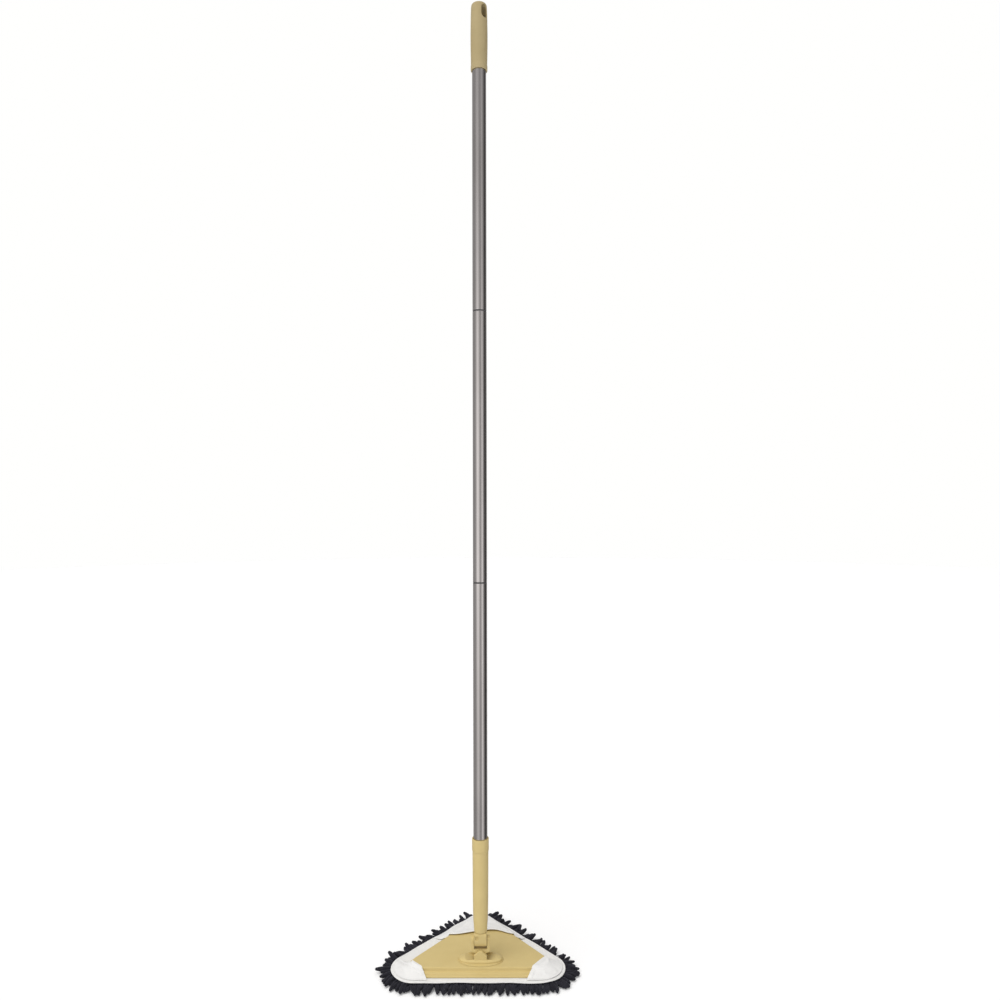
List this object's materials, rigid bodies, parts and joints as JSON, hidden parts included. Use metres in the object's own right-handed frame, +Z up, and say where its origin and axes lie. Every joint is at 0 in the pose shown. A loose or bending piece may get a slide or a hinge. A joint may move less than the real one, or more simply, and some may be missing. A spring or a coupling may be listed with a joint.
{
  "type": "triangular flat mop",
  "caption": "Flat mop with a slim screwed pole, a moulded grip and neck, a two-way swivel and a triangular head that carries a removable chenille pad.",
  "frame": {"origin": "on the floor, under the middle of the pad's outline", "axes": "+Z up along the pole, +Y towards the head's single apex, +X to the right of someone who faces the apex"},
  "size_m": [0.3074, 0.2328, 1.5225],
  "materials": {
    "khaki_plastic": "moulded khaki plastic with a faint satin texture",
    "grip_plastic": "moulded khaki plastic, a shade darker than the neck, lightly textured",
    "tube_steel": "drawn stainless tube with a fine lengthwise brushed grain",
    "insert_plastic": "plain moulded grey plastic",
    "pin_steel": "turned steel, satin",
    "screw_steel": "zinc plated steel",
    "backing_fabric": "white woven polyester with a stitched edge",
    "pocket_fabric": "white knitted polyester over the plate's corners",
    "chenille_fabric": "dark charcoal chenille noodles with a soft pile"
  },
  "bodies": {
    "head": {"roll_pin": "pin_steel", "roll_pin_clip": "pin_steel", "swivel_base": "khaki_plastic", "mop_plate": "khaki_plastic", "sole_plate": "khaki_plastic", "pad_backing": "backing_fabric", "left_pocket": "pocket_fabric", "right_pocket": "pocket_fabric", "rear_pocket": "pocket_fabric", "chenille_pad": "chenille_fabric", "base_screw_1": "screw_steel", "base_screw_2": "screw_steel", "base_screw_3": "screw_steel", "base_screw_4": "screw_steel", "sole_screw_1": "screw_steel", "sole_screw_2": "screw_steel", "sole_screw_3": "screw_steel", "sole_screw_4": "screw_steel", "sole_screw_5": "screw_steel", "sole_screw_6": "screw_steel"},
    "cross": {"swivel_yoke": "khaki_plastic", "pitch_pin": "pin_steel", "pitch_pin_clip": "pin_steel"},
    "pole": {"hand_grip": "grip_plastic", "grip_plug": "insert_plastic", "upper_tube": "tube_steel", "upper_stud": "insert_plastic", "middle_socket": "insert_plastic", "middle_tube": "tube_steel", "lower_stud": "insert_plastic", "lower_socket": "insert_plastic", "lower_tube": "tube_steel", "neck_sleeve": "khaki_plastic", "swivel_knuckle": "khaki_plastic"}
  },
  "joints": [
    {"name": "head_roll", "type": "hinge", "parent": "head", "child": "cross", "pos_m": [0, -0.05585, 0.0345], "axis": [0, 1, 0], "range_deg": [-70, 70]},
    {"name": "head_pitch", "type": "hinge", "parent": "cross", "child": "pole", "pos_m": [0, -0.05585, 0.0535], "axis": [1, 0, 0], "range_deg": [-90, 90]}
  ]
}
